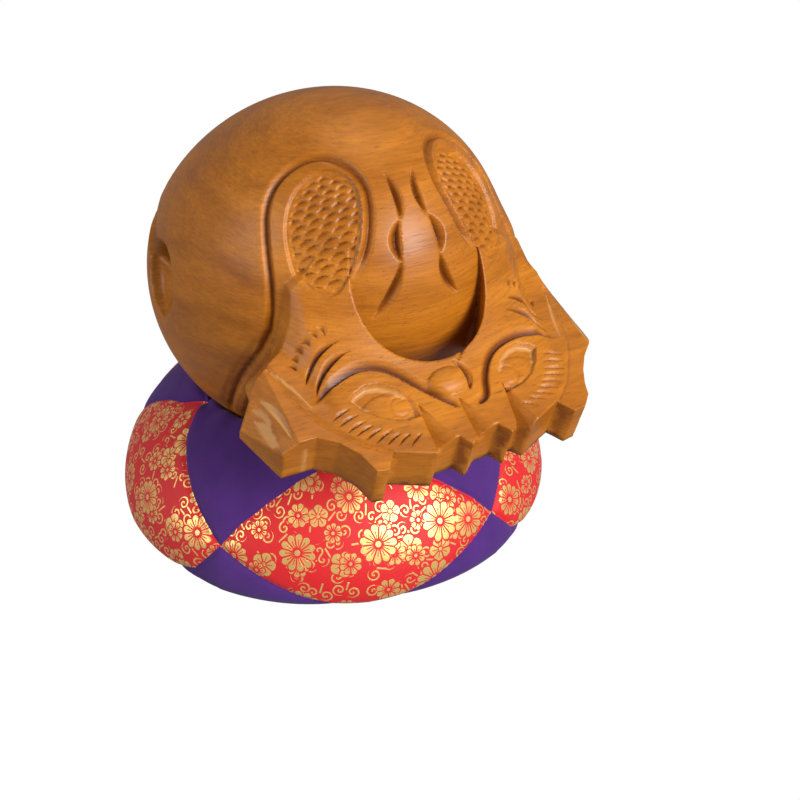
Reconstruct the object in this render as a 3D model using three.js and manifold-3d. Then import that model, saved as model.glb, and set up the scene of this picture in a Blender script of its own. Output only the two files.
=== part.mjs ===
// A mokugyo: a hollow carved wooden drum with two dragon heads for a handle,
// resting in the hollow of its round patchwork cushion.
// Millimetres, +Z up, the handle towards -Y, the origin in the middle of the cushion's underside.

import * as THREE from 'three';
import { mergeVertices } from 'three/addons/utils/BufferGeometryUtils.js';
import { ConvexGeometry } from 'three/addons/geometries/ConvexGeometry.js';
import Module from 'manifold-3d';

const wasm = await Module();
wasm.setup();

// Cushion
const cushionRadius = 98.6;
const cushionBaseRadius = 74;
const cushionGirthHeight = 17;
const cushionRimRadius = 62;
const cushionRimHeight = 63;
const seatHeight = 43.1;
const seatGap = 0.3;

// Body of the drum: two half ellipsoids on one long axis that rises towards the handle
const bodyHalfWidth = 73.9;
const bodyHalfHeight = 73.1;
const bodyFrontReach = 105;
const bodyBackReach = 58;
const bodyTilt = THREE.MathUtils.degToRad(35.3);
const bodySetback = 8.9;

// Hollow
const wall = 13;
const slitHeight = 10;
const slitTilt = THREE.MathUtils.degToRad(17.5);
const soundHoleRadius = 5.5;
const soundHoleDishRadius = 15;
const soundHoleDishDepth = 7;
const soundHoleSweep = THREE.MathUtils.degToRad(17);
const cutOverrun = 3;

// Handle: a slab that leans down to the front, with the two heads cut in its front edge
const handleThickness = 19;
const handleTilt = THREE.MathUtils.degToRad(17.5);
const fingerHoleRadius = 26.5;
const maneStep = 1.6;
const handleHeadroom = 30;
const neckBlend = 36;
const neckEdgeBlend = 10;
const neckHalfWidth = 42;
const neckFade = 12;
const snoutWedgeDepth = 8;

// Carving
const grooveWidth = 3.4;
const grooveDepth = 2.2;
const panelDepth = 1.3;
const scaleRise = 1.0;
const scaleRowPitch = 3.6;
const scaleWidthTop = 4.3;
const scaleWidthBottom = 5.7;
const scaleThickness = 1.4;
const scaleTilt = THREE.MathUtils.degToRad(20);
const waveWidth = 4;
const waveDepth = 2.2;
const cutterHeight = 9;
const browGrooveWidth = 2.6;
const browGrooveDepth = 1.7;
const lidWidth = 9.5;
const lidDepth = 2.2;
const eyeballRadius = 3.5;
const eyeballHeight = 2.2;
const eyeballSink = 0.9;
const lashesPerEye = 9;
const lashWidth = 1.3;
const lashDepth = 1;
const cheekCutWidth = 3.1;
const cheekCutDepth = 1.8;
const cheekBeads = 6;
const beadWidth = 1.6;
const beadDepth = 0.9;
const jewelRadius = 9.5;
const jewelRise = 4.4;

// Facets round and along the body and its hollow
const bodyFacets = [26, 18];
const hollowFacets = [12, 8];

// Every outline below is drawn in millimetres for a body 73.9 from its middle to its side, and grows with it.
const share = bodyHalfWidth / 73.9;
const carvingTilt = THREE.MathUtils.degToRad(45);

const wood = new THREE.MeshStandardMaterial({ name: 'camphor_wood', color: 0xb0651f, roughness: 0.45 });
const cloth = new THREE.MeshStandardMaterial({ name: 'violet_cloth', color: 0x4b2a7b, roughness: 0.85 });

// The long axis leans, so the lowest point of the body is on its back half.
const bodyLowReach = Math.hypot(bodyBackReach * Math.sin(bodyTilt), bodyHalfHeight * Math.cos(bodyTilt));
const bodyCentre = new THREE.Vector3(0, bodySetback, seatHeight + seatGap + bodyLowReach);

// Carving and handle are drawn from this point, level with the widest part of the body.
const drawingOrigin = bodyCentre.clone().add(new THREE.Vector3(0, -15.4, 7.6).multiplyScalar(share));
const handleOrigin = drawingOrigin.clone().add(new THREE.Vector3(0, 0, 29.7).multiplyScalar(share));

function solidOf(geometry) {
  const bare = geometry.index ? geometry.clone() : geometry;
  bare.deleteAttribute('normal');
  bare.deleteAttribute('uv');
  const merged = mergeVertices(bare, 1e-4);
  return new wasm.Manifold(new wasm.Mesh({
    numProp: 3,
    vertProperties: new Float32Array(merged.attributes.position.array),
    triVerts: new Uint32Array(merged.index.array),
  }));
}

function geometryOf(solid) {
  const mesh = solid.getMesh();
  const geometry = new THREE.BufferGeometry();
  geometry.setAttribute('position', new THREE.BufferAttribute(new Float32Array(mesh.vertProperties), 3));
  geometry.setIndex(new THREE.BufferAttribute(new Uint32Array(mesh.triVerts), 1));
  return geometry;
}

function joined(solids) {
  return solids.reduce((whole, next) => whole.add(next));
}

function smooth(t) {
  const s = Math.min(Math.max(t, 0), 1);
  return s * s * (3 - 2 * s);
}

// The body, its hollow and every layer between them are the same shape, grown or shrunk.
function bodySolid(grow, facets = bodyFacets) {
  const geometry = new THREE.SphereGeometry(1, ...facets);
  const place = geometry.attributes.position;
  const tilt = new THREE.Matrix4().makeRotationX(-bodyTilt);
  const point = new THREE.Vector3();
  for (let i = 0; i < place.count; i++) {
    point.fromBufferAttribute(place, i);
    const reach = point.y < 0 ? bodyFrontReach : bodyBackReach;
    point.x *= bodyHalfWidth + grow;
    point.y *= reach + grow;
    point.z *= bodyHalfHeight + grow;
    point.applyMatrix4(tilt).add(bodyCentre);
    place.setXYZ(i, point.x, point.y, point.z);
  }
  return solidOf(geometry);
}

// Distance outside the body's surface, or inside it where it is below zero.
function bodyDepth(point) {
  const p = point.clone().sub(bodyCentre);
  const along = p.y * Math.cos(bodyTilt) - p.z * Math.sin(bodyTilt);
  const across = p.y * Math.sin(bodyTilt) + p.z * Math.cos(bodyTilt);
  const reach = along < 0 ? bodyFrontReach : bodyBackReach;
  return (Math.hypot(p.x / bodyHalfWidth, along / reach, across / bodyHalfHeight) - 1) * bodyHalfHeight;
}

// Frames that the outlines are drawn in: x across, then up the body or down the handle, then out of it.
const carvingFrame = new THREE.Matrix4()
  .makeRotationX(carvingTilt)
  .setPosition(drawingOrigin);
const handleFrame = new THREE.Matrix4()
  .makeRotationX(handleTilt)
  .setPosition(handleOrigin);

function lastInside(inside, low, high) {
  let near = low;
  let far = high;
  for (let step = 0; step < 24; step++) {
    const middle = (near + far) / 2;
    if (inside(middle)) {
      near = middle;
    } else {
      far = middle;
    }
  }
  return near;
}

// Height of the body above the carving's drawing plane, which faces forward and up.
function bodyRise(x, q) {
  const point = (h) => new THREE.Vector3(x, q, h).applyMatrix4(carvingFrame);
  return lastInside((h) => bodyDepth(point(h)) < 0, 0, 2 * bodyHalfHeight);
}

function prism(points, low, high, frame) {
  const shape = new THREE.Shape(points.map(([x, y]) => new THREE.Vector2(x * share, y * share)));
  const geometry = new THREE.ExtrudeGeometry(shape, { depth: high - low, bevelEnabled: false, curveSegments: 1 });
  geometry.translate(0, 0, low);
  geometry.applyMatrix4(frame);
  return solidOf(geometry);
}

function mirrored(points) {
  return points.map(([x, y]) => [-x, y]).reverse();
}

function splinePoints(points, count) {
  const curve = new THREE.SplineCurve(points.map(([x, y]) => new THREE.Vector2(x, y)));
  return curve.getPoints(count).map((p) => [p.x, p.y]);
}

// Points moved sideways from an open outline, to the left of the way it runs.
function shifted(points, distance) {
  return points.map(([x, y], i) => {
    const before = points[Math.max(i - 1, 0)];
    const after = points[Math.min(i + 1, points.length - 1)];
    const length = Math.hypot(after[0] - before[0], after[1] - before[1]);
    return [
      x - ((after[1] - before[1]) / length) * distance,
      y + ((after[0] - before[0]) / length) * distance,
    ];
  });
}

function insideOutline([x, y], outline) {
  let inside = false;
  for (let i = 0, j = outline.length - 1; i < outline.length; j = i++) {
    const [xi, yi] = outline[i];
    const [xj, yj] = outline[j];
    if ((yi > y) !== (yj > y) && x < ((xj - xi) * (y - yi)) / (yj - yi) + xi) {
      inside = !inside;
    }
  }
  return inside;
}

// A boat-shaped gouge between two drawn tips, bowed sideways, sunk in the surface under it.
function gouge([x0, y0], [x1, y1], bow, width, depth, surface, frame) {
  const geometry = new THREE.SphereGeometry(1, 3, 4);
  geometry.rotateY(-Math.PI / 2);
  const place = geometry.attributes.position;
  const length = Math.hypot(x1 - x0, y1 - y0);
  const across = [(y0 - y1) / length, (x1 - x0) / length];
  for (let i = 0; i < place.count; i++) {
    const t = place.getY(i);
    const side = bow * (1 - t * t) + place.getX(i) * (width / (2 * share));
    const x = (x0 + x1) / 2 + ((x1 - x0) / 2) * t + across[0] * side;
    const y = (y0 + y1) / 2 + ((y1 - y0) / 2) * t + across[1] * side;
    const lift = place.getZ(i) * (place.getZ(i) > 0 ? cutterHeight : depth);
    place.setXYZ(i, x * share, y * share, surface(x, y) + lift);
  }
  geometry.applyMatrix4(frame);
  const solid = solidOf(geometry);
  return solid.volume() > 0 ? solid : flipped(geometry);
}

function flipped(geometry) {
  const index = geometry.index.array;
  for (let i = 0; i < index.length; i += 3) {
    [index[i], index[i + 1]] = [index[i + 1], index[i]];
  }
  return solidOf(geometry);
}

const onBody = (x, q) => bodyRise(x * share, q * share);

// Necks: the handle's face climbs the body in a hollow curve on each side of the finger hole.
function faceRise(x, y) {
  const outside = smooth((Math.abs(x) * share - neckHalfWidth) / neckFade);
  const blend = neckBlend + (neckEdgeBlend - neckBlend) * outside;
  const inside = (rise) => {
    const body = bodyDepth(new THREE.Vector3(x * share, y * share, rise).applyMatrix4(handleFrame));
    const mix = Math.min(Math.max(0.5 + (rise - body) / (2 * blend), 0), 1);
    return rise + (body - rise) * mix - blend * mix * (1 - mix) < 0;
  };
  return lastInside(inside, 0, handleHeadroom);
}

// Outlines of the right side, drawn on the carving plane: [across, up the body].
const lobeEdge = splinePoints([
  [27, -30], [19.5, -21.6], [15.7, -9], [17.3, 5], [23.5, 17], [33, 17.2], [41.8, 9.7],
  [47.8, -2.4], [50.4, -15], [52, -30], [55, -39],
], 16);
const panelEdge = splinePoints([
  [40.2, -28.6], [31.5, -27.6], [24.3, -22.2], [19.6, -13], [18.6, -3], [21, 6], [26.5, 10.7],
  [33.5, 9.8], [39.3, 4], [42.3, -5], [43.2, -16], [40.2, -28.6],
], 14).slice(0, -1);
const waveTips = [[5.8, 3.6], [5.5, -13], [7.8, -27], [17.5, -39.4]];
const waveBow = 1.7;

// Outlines of the right side, drawn on the handle's face: [across, down the face, which is minus y].
const maneCrease = [[59.2, -72], [56.4, -89.2], [53.4, -100.2], [49.4, -107.3], [41.8, -117.9], [33.6, -125]];
const sideEdge = [
  [33.6, -125], [37.6, -130.9], [42.2, -130], [45.6, -123.5], [50.6, -115.6], [56.6, -110.6], [66.8, -109.7],
  [73.2, -88], [64.5, -73], [52, -55], [46, -60], [40, -63.5], [32, -66], [24, -63],
];
const frontEdge = [
  [-33.6, -125], [-19, -131.2], [-15.6, -127.4], [-8.4, -126.9], [-5.6, -131.8], [-2.8, -129.8], [0.4, -127.2],
  [7.4, -126.6], [10.2, -132], [12.8, -129.6], [15.4, -127.2], [19, -131.2], [33.6, -125],
];
const brow = [[51.5, -98.4], [42, -94.4], [33, -94.2], [24, -96.6], [16, -101.6], [9.4, -108.6], [2.6, -117]];
const lidOuter = [38.6, -100.6];
const lidInner = [18, -113];
const lidBow = 1.2;
const eyeCentre = [24.4, -108.4];
const jewelCentre = [0, -105.4];
const fingerHoleCentre = [0, -71];
const lashTops = [[43.2, -105.8], [21.2, -119.2]];
const lashFeet = [[42, -112.4], [15.6, -126.4]];
const lashBow = 0.7;
const beadTops = [[36.5, -73.5], [51.5, -80]];
const beadFeet = [[39.5, -77.5], [54, -83.5]];
const beadBow = 0.4;
const cheekCuts = [[[35.6, -78.5], [49.6, -88]], [[33, -83], [48.6, -94]]];
const cheekBow = -1.7;
const snoutWedges = [
  [[-16.6, -109], [-7.2, -133], [-19, -133]],
  [[-1.2, -111], [8.6, -133], [-2.8, -133]],
  [[18.4, -109], [22.4, -133], [12.8, -133]],
];
const flankTop = [[61.8, -66], [62.8, -112]];
const flankFoot = [[79, -66, -19], [71, -112, -14]];
const outsideMane = [[33.6, -145], [95, -145], [95, -72]];

function bodyWithHollow() {
  const outside = bodySolid(0);
  const hollow = bodySolid(-wall, hollowFacets);
  const slit = new THREE.BoxGeometry(4 * bodyHalfWidth, 2 * bodyHalfWidth, slitHeight);
  slit.translate(0, bodyHalfWidth, 0);
  slit.rotateX(slitTilt);
  const slitStart = drawingOrigin.clone().add(new THREE.Vector3(0, 5, 11).multiplyScalar(share));
  slit.translate(slitStart.x, slitStart.y, slitStart.z);
  let body = outside.subtract(hollow).subtract(solidOf(slit));
  for (const side of [-1, 1]) {
    const reach = bodyHalfWidth + cutOverrun;
    const profile = [
      [0, 0], [soundHoleRadius, 0], [soundHoleRadius, bodyHalfWidth - soundHoleDishDepth],
      [soundHoleDishRadius, reach], [0, reach],
    ];
    const bore = new THREE.LatheGeometry(profile.map(([r, h]) => new THREE.Vector2(r, h)), 20);
    bore.rotateZ(side * -Math.PI / 2);
    bore.rotateZ(side * soundHoleSweep);
    bore.translate(slitStart.x, slitStart.y - Math.sin(soundHoleSweep) * bodyHalfWidth, slitStart.z);
    body = body.subtract(solidOf(bore));
  }
  return body;
}

function handleSlab() {
  const left = mirrored(sideEdge);
  const outline = [...left, ...frontEdge.slice(1, -1), ...sideEdge];
  const slab = prism(outline, -handleThickness, handleHeadroom, handleFrame);
  const across = 2.2 * bodyHalfWidth;
  const along = 1.5 * bodyHalfWidth;
  const under = new THREE.BoxGeometry(across, along, 2 * handleHeadroom, 14, 10, 1);
  under.translate(0, -along / 2 - 0.4 * bodyHalfWidth, 0);
  const place = under.attributes.position;
  for (let i = 0; i < place.count; i++) {
    if (place.getZ(i) > 0) {
      place.setZ(i, faceRise(place.getX(i) / share, place.getY(i) / share));
    }
  }
  under.applyMatrix4(handleFrame);
  const hole = new THREE.CylinderGeometry(fingerHoleRadius, fingerHoleRadius, 3 * handleHeadroom, 32);
  hole.rotateX(Math.PI / 2);
  hole.translate(fingerHoleCentre[0] * share, fingerHoleCentre[1] * share, 0);
  hole.applyMatrix4(handleFrame);
  return slab.intersect(solidOf(under)).subtract(solidOf(hole));
}

// A block with its corners at these points of the handle's frame, each [x, y, z] drawn.
function block(corners) {
  const points = corners.map(([x, y, z]) => new THREE.Vector3(x, y, z).multiplyScalar(share));
  const geometry = new ConvexGeometry(points);
  geometry.applyMatrix4(handleFrame);
  return solidOf(geometry);
}

// Lowered mane outside each crease, its sloping flank and the wedges that part the snouts.
function handleCuts() {
  const cuts = [];
  const mane = [...maneCrease, ...outsideMane];
  const above = handleHeadroom / share;
  for (const outline of [mane, mirrored(mane)]) {
    cuts.push(prism(outline, -maneStep, handleHeadroom, handleFrame));
  }
  const farX = outsideMane[1][0];
  for (const side of [-1, 1]) {
    const flank = [];
    flankTop.forEach(([x, y], i) => {
      const foot = flankFoot[i];
      flank.push([x, y, -maneStep / share], [x, y, above], foot, [farX, y, foot[2]], [farX, y, above]);
    });
    cuts.push(block(flank.map(([x, y, z]) => [side * x, y, z])));
  }
  for (const [tip, shallow, deep] of snoutWedges) {
    const floor = -snoutWedgeDepth / share;
    cuts.push(block([
      [...tip, 0], [...tip, above], [...shallow, 0], [...shallow, above], [...deep, above], [...deep, floor],
    ]));
  }
  return joined(cuts);
}

function between([from, to], t) {
  return from.map((start, i) => start + (to[i] - start) * t);
}

// Brow groove, sunk eye, lashes, cheek cuts and row of chips, on the right head and on the left.
function faceCuts() {
  const cuts = [];
  const line = splinePoints(brow, 6);
  const overlap = 0.22;
  for (const side of [-1, 1]) {
    const at = ([x, y]) => [side * x, y];
    const cut = (a, b, bow, width, depth) =>
      cuts.push(gouge(at(a), at(b), side * bow, width, depth, faceRise, handleFrame));
    for (let i = 0; i + 1 < line.length; i++) {
      const step = [line[i], line[i + 1]];
      cut(between(step, -overlap), between(step, 1 + overlap), 0, browGrooveWidth, browGrooveDepth);
    }
    cut(lidOuter, lidInner, lidBow, lidWidth, lidDepth);
    for (let i = 0; i < lashesPerEye; i++) {
      const t = (i + 0.5) / lashesPerEye;
      cut(between(lashTops, t), between(lashFeet, t), lashBow, lashWidth, lashDepth);
    }
    for (const [from, to] of cheekCuts) {
      cut(from, to, cheekBow, cheekCutWidth, cheekCutDepth);
    }
    for (let i = 0; i < cheekBeads; i++) {
      const t = i / (cheekBeads - 1);
      cut(between(beadTops, t), between(beadFeet, t), beadBow, beadWidth, beadDepth);
    }
  }
  return joined(cuts);
}

function dome(radius, height, [x, y], sink, around, up) {
  const geometry = new THREE.SphereGeometry(1, around, up);
  geometry.scale(radius, radius, height);
  geometry.translate(x * share, y * share, -sink);
  geometry.applyMatrix4(handleFrame);
  return solidOf(geometry);
}

function eyeballs() {
  const [x, y] = eyeCentre;
  return joined([-x, x].map((at) => dome(eyeballRadius, eyeballHeight, [at, y], eyeballSink, 8, 6)));
}

// The groove round each fish body, the sunk panel of scales inside it and the waves between them.
function lobeCuts() {
  const cuts = [];
  const inner = shifted(lobeEdge, -grooveWidth / share);
  const ring = [...lobeEdge, ...inner.reverse()];
  const grooveFloor = bodySolid(-grooveDepth);
  const panelFloor = bodySolid(-panelDepth);
  for (const [outline, floor] of [[ring, grooveFloor], [panelEdge, panelFloor]]) {
    for (const drawn of [outline, mirrored(outline)]) {
      cuts.push(prism(drawn, 0, 2 * bodyHalfHeight, carvingFrame).subtract(floor));
    }
  }
  for (const side of [-1, 1]) {
    for (let i = 0; i + 1 < waveTips.length; i++) {
      const [[x0, q0], [x1, q1]] = [waveTips[i], waveTips[i + 1]];
      const bow = (i % 2 === 0 ? -waveBow : waveBow) * side;
      cuts.push(gouge([side * x0, q0], [side * x1, q1], bow, waveWidth, waveDepth, onBody, carvingFrame));
    }
  }
  return joined(cuts);
}

// One tilted scale standing on the sunk floor of the panel.
function scale(x, q, width) {
  const disc = new THREE.CylinderGeometry(width * 0.56, width * 0.48, scaleThickness, 4);
  disc.rotateX(Math.PI / 2);
  disc.rotateX(scaleTilt);
  const reach = 0.5;
  const slopeX = (onBody(x + reach, q) - onBody(x - reach, q)) / (2 * reach * share);
  const slopeQ = (onBody(x, q + reach) - onBody(x, q - reach)) / (2 * reach * share);
  const normal = new THREE.Vector3(-slopeX, -slopeQ, 1).normalize();
  disc.applyQuaternion(new THREE.Quaternion().setFromUnitVectors(new THREE.Vector3(0, 0, 1), normal));
  const sunk = (panelDepth + (scaleThickness - scaleRise) / 2) / normal.z;
  disc.translate(x * share, q * share, onBody(x, q) - sunk);
  disc.applyMatrix4(carvingFrame);
  return solidOf(disc);
}

function scales() {
  const [across, up] = [0, 1].map((axis) => panelEdge.map((point) => point[axis]));
  const top = Math.max(...up);
  const bottom = Math.min(...up);
  const pitch = scaleRowPitch / share;
  const solids = [];
  let row = 0;
  for (let q = top - pitch; q > bottom + pitch / 2; q -= pitch) {
    const down = (top - q) / (top - bottom);
    const width = scaleWidthTop + (scaleWidthBottom - scaleWidthTop) * down;
    const spacing = width / share;
    const start = Math.min(...across) - (row % 2) * (spacing / 2);
    for (let x = start; x < Math.max(...across); x += spacing) {
      if (insideOutline([x - spacing / 2, q], panelEdge) && insideOutline([x + spacing / 2, q], panelEdge)) {
        solids.push(scale(x, q, width), scale(-x, q, width));
      }
    }
    row++;
  }
  return joined(solids);
}

function drumSolid() {
  const slab = handleSlab();
  const shell = bodyWithHollow().subtract(lobeCuts().subtract(slab));
  const hollow = bodySolid(-wall, hollowFacets);
  const head = slab.subtract(handleCuts()).subtract(faceCuts()).subtract(hollow);
  const jewel = dome(jewelRadius, jewelRise, jewelCentre, 0, 16, 8);
  return shell.add(scales().subtract(hollow)).add(head).add(jewel).add(eyeballs());
}

function cushionSolid() {
  const profile = [new THREE.Vector2(0, 0), new THREE.Vector2(cushionBaseRadius, 0)];
  const lowSteps = 4;
  for (let i = 1; i <= lowSteps; i++) {
    const turn = (i / lowSteps) * (Math.PI / 2);
    profile.push(new THREE.Vector2(
      cushionBaseRadius + (cushionRadius - cushionBaseRadius) * Math.sin(turn),
      cushionGirthHeight * (1 - Math.cos(turn)),
    ));
  }
  const highSteps = 7;
  for (let i = 1; i <= highSteps; i++) {
    const turn = (i / highSteps) * (Math.PI / 2);
    profile.push(new THREE.Vector2(
      cushionRimRadius + (cushionRadius - cushionRimRadius) * Math.cos(turn),
      cushionGirthHeight + (cushionRimHeight - cushionGirthHeight) * Math.sin(turn),
    ));
  }
  profile.push(new THREE.Vector2(0, cushionRimHeight));
  const whole = new THREE.LatheGeometry(profile, 30);
  whole.rotateX(Math.PI / 2);
  return solidOf(whole).subtract(bodySolid(seatGap));
}

const group = new THREE.Group();

const drum = new THREE.Mesh(geometryOf(drumSolid()), wood);
drum.name = 'drum';
group.add(drum);

const cushion = new THREE.Mesh(geometryOf(cushionSolid()), cloth);
cushion.name = 'cushion';
group.add(cushion);

export default group;
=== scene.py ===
import math

import bmesh
import bpy
import numpy as np
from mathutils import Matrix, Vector


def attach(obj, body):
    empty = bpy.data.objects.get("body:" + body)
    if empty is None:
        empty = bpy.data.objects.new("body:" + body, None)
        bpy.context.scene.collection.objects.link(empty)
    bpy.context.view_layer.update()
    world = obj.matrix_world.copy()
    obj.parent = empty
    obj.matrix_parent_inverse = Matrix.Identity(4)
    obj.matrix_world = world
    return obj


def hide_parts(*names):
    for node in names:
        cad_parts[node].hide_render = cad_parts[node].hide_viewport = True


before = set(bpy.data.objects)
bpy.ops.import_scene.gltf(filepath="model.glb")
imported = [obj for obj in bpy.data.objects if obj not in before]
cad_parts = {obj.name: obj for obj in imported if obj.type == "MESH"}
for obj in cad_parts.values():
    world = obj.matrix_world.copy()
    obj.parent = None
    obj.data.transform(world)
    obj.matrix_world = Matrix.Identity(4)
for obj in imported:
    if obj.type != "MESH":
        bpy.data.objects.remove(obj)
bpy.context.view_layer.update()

# The drum: one block of camphor wood, carved by hand and rubbed with oil until it is satin.
# Its body is a hollow egg that leans back; a slab left standing in front is the handle,
# pierced by a round finger hole and cut into two dragon heads. Sizes here are millimetres.
body_half_width = 73.9
body_half_height = 73.1
body_front_reach = 105.0
body_back_reach = 58.0
body_tilt = math.radians(35.3)
body_centre = np.array([0.0, 8.9, 111.84])
drawing_origin = np.array([0.0, -6.5, 119.44])
handle_origin = np.array([0.0, -6.5, 149.14])
wall = 13.0
slit_height = 10.0
slit_tilt = math.radians(17.5)
slit_start = np.array([0.0, -1.5, 130.44])
sound_hole_radius = 5.5
sound_hole_dish_radius = 15.0
sound_hole_dish_depth = 7.0
sound_hole_sweep = math.radians(17)
handle_thickness = 19.0
handle_tilt = math.radians(17.5)
finger_hole_radius = 26.5
finger_hole_reach = 71.0
mane_step = 0.9

# The heads are drawn on the handle's face as [across, down the face], and each has its own outline.
head_left = [(33.6, 125), (37.6, 130.9), (41.8, 130), (44, 121.6), (48.6, 114.6), (55, 109.9),
             (66.8, 109.7), (73.6, 88), (66, 79.5), (57, 73.5), (50.5, 69), (46.6, 65), (44.4, 58),
             (43.2, 46), (42, 34), (26, 34), (24, 63)]
head_right = [(33.6, 125), (37.6, 130.9), (42.6, 130.2), (46.8, 125.8), (48.4, 121), (51.6, 114.9),
              (56, 109), (63, 102.5), (72.4, 92.5), (73.6, 88), (66.5, 76), (60.5, 66), (54.5, 56), (50, 44),
              (46, 34), (26, 34), (24, 63)]
crease = [(59.2, 72), (56.4, 89.2), (53.4, 100.2), (49.4, 107.3), (41.8, 117.9), (33.6, 125)]
snouts = [(-19, 131.2), (-15.6, 127.4), (-8.4, 126.9), (-5.6, 131.8), (-2.8, 129.8), (0.4, 127.2),
          (7.4, 126.6), (10.2, 132), (12.8, 129.6), (15.4, 127.2), (19, 131.2)]
snout_wedges = [((-16.6, 109), (-7.2, 133), (-19, 133)), ((-1.2, 111), (8.6, 133), (-2.8, 133)),
                ((18.4, 109), (22.4, 133), (12.8, 133))]
snout_wedge_depth = 8.0
shoulder_centre = np.array([58.0, -59.0, 141.0])
shoulder_rise = 3.6
shoulder_spread = 9.5
neck_spread = 0.55
neck_spread_depth = 14.0


def smooth(t):
    t = np.clip(t, 0, 1)
    return t * t * (3 - 2 * t)


def body_depth(p, grow=0.0):
    q = p - body_centre
    along = q[:, 1] * math.cos(body_tilt) - q[:, 2] * math.sin(body_tilt)
    across = q[:, 1] * math.sin(body_tilt) + q[:, 2] * math.cos(body_tilt)
    reach = np.where(along < 0, body_front_reach, body_back_reach) + grow
    level = np.sqrt((q[:, 0] / (body_half_width + grow)) ** 2 + (along / reach) ** 2
                    + (across / (body_half_height + grow)) ** 2)
    return (level - 1) * (body_half_height + grow)


def tilted(p, origin, tilt):
    q = p - origin
    up = q[:, 1] * math.cos(tilt) + q[:, 2] * math.sin(tilt)
    out = q[:, 2] * math.cos(tilt) - q[:, 1] * math.sin(tilt)
    return q[:, 0], up, out


def soft_corner(points, rounds=3):
    points = np.array(points, float)
    for _ in range(rounds):
        a, b = points[:-1], points[1:]
        middle = np.stack([0.75 * a + 0.25 * b, 0.25 * a + 0.75 * b], 1).reshape(-1, points.shape[1])
        points = np.vstack([points[:1], middle, points[-1:]])
    return points


def outline_distance(x, y, outline):
    nearest = np.full(x.shape, 1e9)
    inside = np.zeros(x.shape, bool)
    for (x0, y0), (x1, y1) in zip(outline, np.roll(outline, -1, axis=0)):
        ex, ey = x1 - x0, y1 - y0
        t = np.clip(((x - x0) * ex + (y - y0) * ey) / (ex * ex + ey * ey + 1e-12), 0, 1)
        nearest = np.minimum(nearest, (x - x0 - t * ex) ** 2 + (y - y0 - t * ey) ** 2)
        if y0 != y1:
            inside ^= ((y0 > y) != (y1 > y)) & (x < ex * (y - y0) / ey + x0)
    return np.where(inside, -1, 1) * np.sqrt(nearest)


def line_distance(points, line):
    """Distance to a line in two or three dimensions, the share along it, and the nearest point and way."""
    line = np.asarray(line, float)
    lengths = np.linalg.norm(np.diff(line, axis=0), axis=1)
    walked = np.concatenate([[0], np.cumsum(lengths)])
    best = np.full(len(points), 1e9)
    share = np.zeros(len(points))
    near = np.zeros(points.shape)
    way = np.zeros(points.shape)
    for i, (a, b) in enumerate(zip(line[:-1], line[1:])):
        e = b - a
        t = np.clip(((points - a) @ e) / (e @ e), 0, 1)
        at = a + t[:, None] * e
        d = ((points - at) ** 2).sum(1)
        closer = d < best
        best[closer] = d[closer]
        share[closer] = (walked[i] + t[closer] * lengths[i]) / walked[-1]
        near[closer] = at[closer]
        way[closer] = e / lengths[i]
    return np.sqrt(best), share, near, way


handle_outline = np.array([(-x, v) for x, v in reversed(head_left)] + snouts + head_right)


def face_rise(p):
    """How far a point is above the face of the handle where it climbs the body as two necks."""
    x, up, out = tilted(p, handle_origin, handle_tilt)
    blend = 36 - 26 * smooth((np.abs(x) - 42) / 12)
    body = body_depth(p)
    mix = np.clip(0.5 + (out - body) / (2 * blend), 0, 1)
    return out + (body - out) * mix - blend * mix * (1 - mix)


def plane_through(a, b, c):
    a, b, c = (np.array(v, float) for v in (a, b, c))
    n = np.cross(b - a, c - a)
    return n / np.linalg.norm(n), a


flank_normal, flank_point = plane_through((61.8, 66, -1.6), (62.8, 112, -1.6), (75, 89, -16.5))
flank_normal = flank_normal * np.sign(flank_normal[0])


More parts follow.
